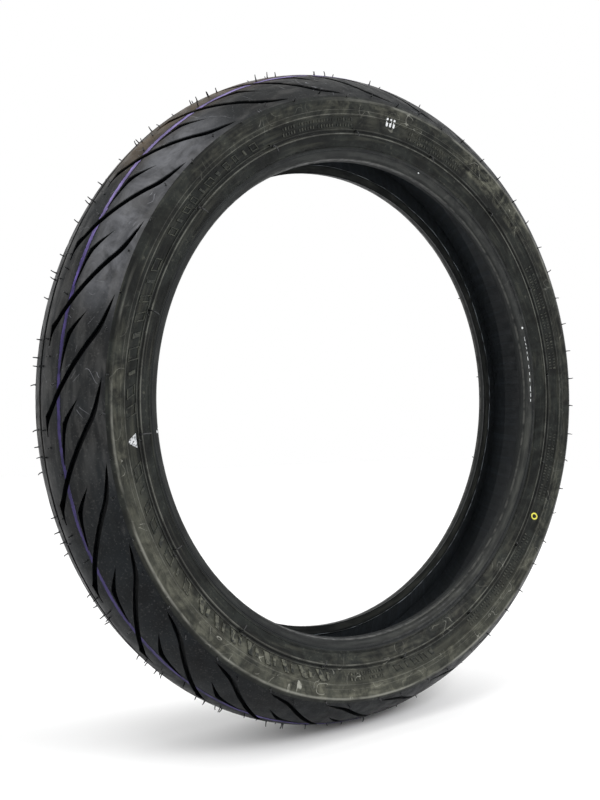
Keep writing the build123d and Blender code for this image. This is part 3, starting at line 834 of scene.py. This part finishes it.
# %% [markdown]
# ## Raised markings
# Each sidewall has a shallow band of moulded markings. Here they are plain slanted shapes
# that stand for lettering: large outlined blocks, solid bars and two rows of small ticks.
# Each starts as a grid, sheared, inset into an outline where it needs one, extruded and
# bevelled. It is then bent onto the floor of the band.

# %% Shapes on the sidewall
BAND_LOW, BAND_HIGH = 239.3 * MM, 249.8 * MM
BAND_RECESS = 0.45 * MM
BAND_SLOPE = 0.3 * MM
MARK_ROOT = 0.15 * MM


def face_y(radius):
    """Distance of the outer face from the middle plane, with the recess of the band."""
    low, high = BAND_LOW + BAND_SLOPE, BAND_HIGH - BAND_SLOPE
    if not low < radius < high:
        return side_y(radius)
    along = (radius - low) / (high - low)
    start, end = side_y(BAND_LOW) - BAND_RECESS, side_y(BAND_HIGH) - BAND_RECESS
    return start + (end - start) * along


def bend_onto_side(bm, angle, radius, side):
    """Bend a flat shape (X round the wheel, Y outwards from the axle, Z proud) onto a side."""
    for vertex in bm.verts:
        x, up, proud = vertex.co
        r = radius + up
        vertex.co = in_space(angle + degrees(x / r), side * (face_y(r) + proud), r)
    bmesh.ops.recalc_face_normals(bm, faces=bm.faces[:])


def flat_block(width, height, slant, rim=0.0, columns=4, rows=2):
    """Flat slanted shape of a size, hollow if it has a rim."""
    bm = bmesh.new()
    bmesh.ops.create_grid(bm, x_segments=columns, y_segments=rows, size=0.5)
    shear = Matrix.Identity(4)
    shear[0][1] = slant
    shape = shear @ Matrix.Diagonal((width, height, 1, 1))
    bmesh.ops.transform(bm, matrix=shape, verts=bm.verts[:])
    if rim:
        border = bmesh.ops.inset_region(bm, faces=bm.faces[:], thickness=rim, use_boundary=True)
        keep = set(border["faces"])
        bmesh.ops.delete(bm, geom=[face for face in bm.faces if face not in keep], context="FACES")
    return bm


def raise_block(bm, root, top, bevel=0.0):
    """Give a flat shape its thickness, from below the rubber's face to the top."""
    bmesh.ops.translate(bm, verts=bm.verts[:], vec=(0, 0, -root))
    made = bmesh.ops.extrude_face_region(bm, geom=bm.faces[:], use_keep_orig=True)["geom"]
    upper = [part for part in made if isinstance(part, bmesh.types.BMVert)]
    bmesh.ops.translate(bm, verts=upper, vec=(0, 0, root + top))
    bmesh.ops.recalc_face_normals(bm, faces=bm.faces[:])
    if bevel:
        high = [edge for edge in bm.edges if all(vertex.co.z > top / 2 for vertex in edge.verts)]
        corners = [edge for edge in high if edge.calc_face_angle(0) > 1.0]
        rounding = {"affect": "EDGES", "segments": 1, "profile": 0.5, "material": -1}
        bmesh.ops.bevel(bm, geom=corners, offset=bevel, **rounding)
    return bm


def add_to(target, shape):
    """Add a finished small shape to a piece."""
    mesh = bpy.data.meshes.new("shape")
    shape.to_mesh(mesh)
    shape.free()
    target.from_mesh(mesh)
    bpy.data.meshes.remove(mesh)


def place_block(target, block, angle, radius, side):
    """Bend a finished block onto a sidewall and add it to a piece."""
    bend_onto_side(block, angle, radius, side)
    add_to(target, block)


# %% [markdown]
# ## Blocks, bars and ticks
# The marks run round the band in groups. A small random spread in size and slant keeps a
# group from looking like a ruler. Their tops are rubbed, so their rubber is greyer.

# %% Markings
MARK_TOP = 0.7 * MM
MARK_BEVEL = 0.15 * MM
MARK_MIDDLE = 244.6 * MM
MARK_SLANT = 0.55
MARK_SPREAD = (0.72, 1.08)
# first angle, last angle, step in degrees, height and rim in mm
OUTLINED_RUNS = [
    (156.0, 183.0, 3.3, 9.2, 1.0),
    (193.0, 217.0, 3.3, 9.2, 1.0),
    (124.0, 150.0, 2.5, 7.0, 0.8),
    (275.0, 285.0, 2.5, 7.4, 0.9),
]
# width over height, and whether the shape is hollow
OUTLINED_SHAPES = [(1.15, True), (0.3, False), (0.85, True), (1.0, True), (0.5, False)]
SOLID_RUNS = [(221.0, 254.0, 4.7)]
# shift in degrees, width, height and slant of each shape of a group
SOLID_SHAPES = [(0.0, 6.0, 8.6, 0.7), (1.9, 3.4, 6.0, 0.3)]
TICK_RUNS = [(98.0, 116.0), (262.0, 272.0), (298.0, 326.0)]
TICK_RUNS += [(335.0, 352.0), (8.0, 34.0), (66.0, 82.0)]
TICK_STEP = 0.72
TICK_HEIGHT = 2.5
TICK_WORD = 7


def steps(first, last, step):
    """Angles from the first to the last."""
    return [first + index * step for index in range(int((last - first) / step) + 1)]


def outlined_marks(target, side):
    """Large slanted blocks, some hollow and some solid."""
    for first, last, step, height, rim in OUTLINED_RUNS:
        for index, angle in enumerate(steps(first, last, step)):
            share, hollow = OUTLINED_SHAPES[index % len(OUTLINED_SHAPES)]
            share *= chance.uniform(*MARK_SPREAD)
            tall = height * (1.0 if hollow else 0.7) * chance.uniform(*MARK_SPREAD)
            slant = MARK_SLANT * chance.uniform(*MARK_SPREAD)
            border = rim * MM if hollow else 0.0
            block = flat_block(share * height * MM, tall * MM, slant, border)
            raise_block(block, MARK_ROOT, MARK_TOP, MARK_BEVEL)
            place_block(target, block, angle, MARK_MIDDLE, side)


def solid_marks(target, side):
    """Large solid slanted bars in pairs."""
    for first, last, step in SOLID_RUNS:
        for angle in steps(first, last, step):
            for shift, width, height, slant in SOLID_SHAPES:
                width *= chance.uniform(*MARK_SPREAD)
                block = flat_block(width * MM, height * MM, slant * chance.uniform(*MARK_SPREAD))
                raise_block(block, MARK_ROOT, MARK_TOP * 1.3, MARK_BEVEL)
                place_block(target, block, angle + shift, MARK_MIDDLE, side)


def tick_marks(target, side):
    """Two rows of small plain ticks."""
    for first, last in TICK_RUNS:
        for index, angle in enumerate(steps(first, last, TICK_STEP)):
            if index % TICK_WORD == TICK_WORD - 1:
                continue
            upper_width = 1.6 if index % 3 == 0 else 0.7
            for radius, width in ((246.8 * MM, upper_width), (242.4 * MM, 1.3)):
                width *= chance.uniform(*MARK_SPREAD)
                height = TICK_HEIGHT * chance.uniform(*MARK_SPREAD)
                block = flat_block(width * MM, height * MM, 0.1, columns=1, rows=1)
                raise_block(block, MARK_ROOT, MARK_TOP * 0.8)
                place_block(target, block, angle, radius, side)


mark_rubber, tree, shader = new_material("worn_marking_rubber", 0.5, Specular_IOR_Level=0.2)
places = Places(tree)
worn = ramp(tree, places.grain(0.005, 5.0, 0.65, 1.0), 0.4, 0.62)
colour = blend_colour(tree, product(tree, worn, 0.26), SIDE_GREY, OLIVE_DUST_AND_SHEEN)
dusty = product(tree, places.sector(240.0, 34.0), worn)
colour = blend_colour(tree, product(tree, dusty, 0.55), colour, OLIVE_DUST_AND_SHEEN)
rough = ramp(tree, worn, 0.0, 1.0, 0.38, 0.6)
finish_surface(tree, shader, colour, rough, places.grain(0.0014, 4.0), 0.12, 0.6)
for side, word in ((1, "left"), (-1, "right")):
    for make, kind in ((outlined_marks, "outlined"), (solid_marks, "solid"), (tick_marks, "tick")):
        bm = bmesh.new()
        make(bm, side)
        new_piece(f"{kind}_marks_{word}", bm, mark_rubber, smooth=False)

# %% [markdown]
# ## Flash inside the beads
# Where the edge of the rubber bladder meets the bead ring, a little rubber squeezes out and
# dries as a thin, ragged fin round the inside of each bead. It is a sliver of a triangle
# spun round the wheel. A few waves of different length then make it wander and pull its
# thin edge in and out.

# %% Bead flash
FLASH_PLACE = (24.2 * MM, 223.2 * MM)
FLASH_HEIGHT = 0.65 * MM
FLASH_HALF_WIDTH = 0.22 * MM
FLASH_ROOT = 0.15 * MM
FLASH_WANDER = 0.45 * MM
FLASH_STEPS = 360
# how many waves, fewest and most turns round the wheel, and largest size of each
WANDER_WAVES = (6, 3, 30, 0.5)
PULL_WAVES = (8, 20, 90, 0.35)
PULL_LIMITS = (-0.4, 0.7)

flash_rubber, tree, shader = new_material("flash_rubber", 0.45, Specular_IOR_Level=0.4)
places = Places(tree)
worn = ramp(tree, places.streaks(0.012, 0.01, 5.0), 0.42, 0.56)
colour = blend_colour(tree, worn, linear("#1b1e20"), linear("#62686d"))
rough = ramp(tree, worn, 0.0, 1.0, 0.4, 0.6)
finish_surface(tree, shader, colour, rough, places.grain(0.0012), 0.05, 0.5)


def waves(count, low, high, size):
    """Random waves round the wheel: how many turns of each, its phase and its size."""
    return [
        (chance.randint(low, high), chance.uniform(0, 2 * pi), chance.uniform(0, size))
        for _ in range(count)
    ]


def height_of(made, turn):
    """Sum of waves at an angle in radians."""
    return sum(size * sin(turns * turn + phase) for turns, phase, size in made)


for side, word in ((1, "left"), (-1, "right")):
    bm = bmesh.new()
    place_y, place_r = FLASH_PLACE
    corners = [
        (place_y + FLASH_ROOT, place_r - FLASH_HALF_WIDTH),
        (place_y + FLASH_ROOT, place_r + FLASH_HALF_WIDTH),
        (place_y - FLASH_HEIGHT, place_r),
    ]
    profile = [bm.verts.new(in_space(0, side * y, r)) for y, r in corners]
    ring = [bm.edges.new((profile[index - 1], profile[index])) for index in range(3)]
    once_round = {"cent": (0, 0, 0), "axis": (0, 1, 0), "angle": 2 * pi, "steps": FLASH_STEPS}
    bmesh.ops.spin(bm, geom=profile + ring, use_merge=True, use_duplicate=False, **once_round)
    bmesh.ops.remove_doubles(bm, verts=bm.verts[:], dist=0.01 * MM)
    wander, pull = waves(*WANDER_WAVES), waves(*PULL_WAVES)
    least, most = PULL_LIMITS
    for vertex in bm.verts:
        turn = atan2(vertex.co.z, vertex.co.x)
        outwards = Vector((vertex.co.x, 0, vertex.co.z)).normalized()
        vertex.co += outwards * FLASH_WANDER * height_of(wander, turn)
        if abs(vertex.co.y) < place_y:
            vertex.co.y += side * FLASH_HEIGHT * max(least, min(most, height_of(pull, turn)))
    bmesh.ops.recalc_face_normals(bm, faces=bm.faces[:])
    new_piece(f"bead_flash_{word}", bm, flash_rubber)

# %% [markdown]
# ## Thin paint on the right side
# Inspectors leave small white marks: a stamp of three bars by the top, a dashed pen line on
# the bead's bevel and a few stray dabs. Each is a thin film bent onto the rubber. Its outline
# is a circle whose points are nudged at random, because a pen never leaves a clean edge.

# %% Paint film
FILM = 0.12 * MM
FILM_ROOT = 0.05 * MM
BEVEL_ARC_POINTS = [(35.4, 221.0), (33.9, 217.5), (30.4, 215.9)]
BEVEL_CENTRE, BEVEL_RADIUS = circle_through(BEVEL_ARC_POINTS)


def bevel_y(radius):
    """Distance of the bead's bevel from the middle plane."""
    if radius > BEVEL_ARC_POINTS[0][1] * MM:
        return face_y(radius)
    return BEVEL_CENTRE[0] + sqrt(BEVEL_RADIUS**2 - (radius - BEVEL_CENTRE[1]) ** 2)


def dab(target, angle, radius, width, height, rough_edge=0.18, lean=0.0):
    """A dab of paint on the right side, with a ragged outline."""
    bm = bmesh.new()
    bmesh.ops.create_circle(bm, cap_ends=True, segments=18, radius=0.5)
    is_stroke = height > 2.5 * width or width > 2.5 * height
    for vertex in bm.verts:
        vertex.co *= 1 + chance.uniform(-rough_edge, rough_edge)
        if is_stroke:  # a stroke ends square, a dab stays round
            vertex.co *= vertex.co.length / max(abs(vertex.co.x), abs(vertex.co.y))
    shape = Matrix.Rotation(lean, 4, "Z") @ Matrix.Diagonal((width, height, 1, 1))
    bmesh.ops.transform(bm, matrix=shape, verts=bm.verts[:])
    raise_block(bm, FILM_ROOT, FILM)
    for vertex in bm.verts:
        x, up, proud = vertex.co
        r = radius + up
        vertex.co = in_space(angle + degrees(x / r), -(bevel_y(r) + proud), r)
    bmesh.ops.recalc_face_normals(bm, faces=bm.faces[:])
    add_to(target, bm)


# %% Stamp
STAMP_ANGLE, STAMP_STEP, STAMP_RADIUS = 87.5, 0.95, 249.8 * MM
BAR_WIDTH, BAR_HEIGHT = 2.3 * MM, 6.8 * MM

bm = bmesh.new()
for shift in (-STAMP_STEP, 0.0, STAMP_STEP):
    dab(bm, STAMP_ANGLE + shift, STAMP_RADIUS, BAR_WIDTH, BAR_HEIGHT, 0.08, lean=-0.12)
new_piece("stamp_bars", bm, solid_white, smooth=False)

# %% [markdown]
# ## Balance ring
# A yellow ring marks the lightest place of the tyre. It is stamped with a soft pad, so its
# edge is uneven. A disc is inset and only its border is kept.

# %% Balance ring
BALANCE_ANGLE = 330.5
BALANCE_RADIUS = 244.4 * MM
RING_OUTER, RING_WIDTH = 3.5 * MM, 1.4 * MM

bm = bmesh.new()
bmesh.ops.create_circle(bm, cap_ends=True, segments=32, radius=RING_OUTER)
border = bmesh.ops.inset_region(bm, faces=bm.faces[:], thickness=RING_WIDTH, use_boundary=True)
keep = set(border["faces"])
bmesh.ops.delete(bm, geom=[face for face in bm.faces if face not in keep], context="FACES")
for vertex in bm.verts:
    vertex.co *= 1 + chance.uniform(-0.05, 0.05)
raise_block(bm, FILM_ROOT, FILM)
bend_onto_side(bm, BALANCE_ANGLE, BALANCE_RADIUS, -1)
new_piece("balance_ring", bm, yellow_paint, "balance_mark", smooth=False)

# %% [markdown]
# ## Pen line and dabs
# A pen held to the turning bead skips, so its line is a row of uneven dashes.

# %% Pen marks
PEN_LINE, PEN_RADIUS = 220.4, (220.2, 220.5)
PEN_END = 18.0
DASH_LENGTH, DASH_WIDTH, DASH_GAP = (1.2, 6.5), (0.35, 0.65), (1.2, 5.0)
# angle in degrees, then radius, width and height in mm
DABS = [
    (186.8, 218.6, 2.4, 1.3),
    (75.0, 221.6, 1.8, 1.0),
    (20.0, 220.4, 2.6, 1.8),
    (186.2, 217.6, 1.0, 0.7),
]

bm = bmesh.new()
angle = 0.0
while angle < PEN_END:
    length = chance.uniform(*DASH_LENGTH)
    radius, width = chance.uniform(*PEN_RADIUS), chance.uniform(*DASH_WIDTH)
    dab(bm, angle, radius * MM, length * MM, width * MM, 0.25)
    angle += degrees((length + chance.uniform(*DASH_GAP)) / PEN_LINE)
for angle, radius, width, height in DABS:
    dab(bm, angle, radius * MM, width * MM, height * MM)
new_piece("pen_marks", bm, solid_white, smooth=False)

# %% [markdown]
# ## The floor
# The tyre stands on a wide pale sheet, just under the tread.

# %% Floor
FLOOR_SIZE = 6.0

floor_paper, tree, shader = new_material("pale_floor", 0.8, 1.45)
here = add(tree, "TexCoord").outputs["Object"]
fibre = add(tree, "TexNoise", {"Vector": here, "Scale": 4.0, "Detail": 4.0}).outputs["Fac"]
colour = blend_colour(tree, fibre, linear("#fafafa"), linear("#ffffff"))
finish_surface(tree, shader, colour)

bm = bmesh.new()
bmesh.ops.create_grid(bm, x_segments=8, y_segments=8, size=FLOOR_SIZE / 2)
bmesh.ops.translate(bm, verts=bm.verts[:], vec=(0, 0, FLOOR_HEIGHT))
mesh = bpy.data.meshes.new("floor")
bm.to_mesh(mesh)
bm.free()
mesh.materials.append(floor_paper)
floor = bpy.data.objects.new("floor", mesh)
bpy.context.collection.objects.link(floor)

# %% [markdown]
